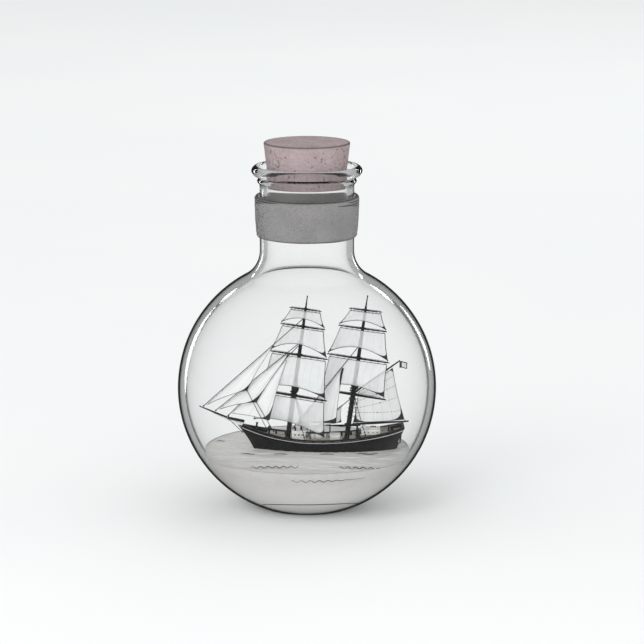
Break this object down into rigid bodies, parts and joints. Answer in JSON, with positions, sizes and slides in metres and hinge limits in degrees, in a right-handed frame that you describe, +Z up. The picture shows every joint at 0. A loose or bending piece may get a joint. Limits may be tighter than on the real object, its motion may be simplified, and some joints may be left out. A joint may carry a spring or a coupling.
{
  "type": "ship in a bottle",
  "caption": "Two-masted square-rigged model ship on a putty sea, inside a round clear flask with a flat base, a banded neck and a tapered cork.",
  "frame": {"origin": "centre of the flask's flat base, on the surface it stands on", "axes": "+Z up through the neck and cork, -X towards the ship's bow, -Y towards its port side"},
  "size_m": [0.105, 0.105, 0.1497],
  "materials": {
    "glass": "clear, polished",
    "band": "matt grey wrap",
    "cork": "fine cork grain",
    "sea": "rippled putty, satin",
    "hull_black": "black paint on wood",
    "deck_wood": "scribed planks",
    "white_paint": "off-white paint",
    "dark_spar": "dark stained wood",
    "wire": "drawn wire",
    "sailcloth": "stiff translucent paper",
    "ensign": "paper",
    "thread": "waxed thread"
  },
  "bodies": {
    "bottle": {"glass_bottle": "glass", "neck_band": "band", "sea": "sea", "hull": "hull_black", "rail_cap": "hull_black", "catheads": "hull_black", "deck": "deck_wood", "fore_deckhouse": "white_paint", "longboat": "white_paint", "main_hatch": "white_paint", "aft_cabin": "white_paint", "windlass": "dark_spar", "spare_spar": "dark_spar", "capstan": "dark_spar", "steering_wheel": "dark_spar", "bowsprit": "dark_spar", "jibboom": "dark_spar", "fore_lower_mast": "dark_spar", "fore_topmast": "dark_spar", "main_lower_mast": "dark_spar", "main_topmast": "dark_spar", "fore_top": "dark_spar", "main_top": "dark_spar", "fore_hinge_pin": "wire", "main_hinge_pin": "wire", "outer_jib": "sailcloth", "inner_jib": "sailcloth", "fore_staysail": "sailcloth", "main_topmast_staysail": "sailcloth", "main_staysail": "sailcloth", "outer_jib_stay": "thread", "inner_jib_stay": "thread", "fore_stay": "thread", "outer_jib_sheet": "thread", "inner_jib_sheet": "thread", "main_topmast_stay": "thread", "main_stay": "thread", "fore_shrouds": "thread", "main_shrouds": "thread", "bobstay": "thread"},
    "cork": {"cork_stopper": "cork"},
    "fore_yards": {"fore_royal_yard": "dark_spar", "fore_topgallant_yard": "dark_spar", "fore_topsail_yard": "dark_spar", "fore_lower_yard": "dark_spar", "fore_royal": "sailcloth", "fore_topgallant": "sailcloth", "fore_topsail": "sailcloth", "fore_course": "sailcloth"},
    "main_yards": {"main_royal_yard": "dark_spar", "main_topgallant_yard": "dark_spar", "main_topsail_yard": "dark_spar", "main_lower_yard": "dark_spar", "main_royal": "sailcloth", "main_topgallant": "sailcloth", "main_topsail": "sailcloth"},
    "spanker_gear": {"gaff": "dark_spar", "boom": "dark_spar", "spanker": "sailcloth", "ensign": "ensign"}
  },
  "joints": [
    {"name": "cork_pull", "type": "slide", "parent": "bottle", "child": "cork", "axis": [0, 0, 1], "range_m": [0, 0.045]},
    {"name": "fore_yards_brace", "type": "hinge", "parent": "bottle", "child": "fore_yards", "pos_m": [-0.0081, 0, 0.0268], "axis": [-0.1374, 0, -0.9905], "range_deg": [0, 35]},
    {"name": "main_yards_brace", "type": "hinge", "parent": "bottle", "child": "main_yards", "pos_m": [0.0161, 0, 0.0268], "axis": [-0.1374, 0, -0.9905], "range_deg": [0, 35]},
    {"name": "spanker_swing", "type": "hinge", "parent": "bottle", "child": "spanker_gear", "pos_m": [0.0161, 0, 0.0268], "axis": [0.1374, 0, 0.9905], "range_deg": [-15, 15]}
  ]
}
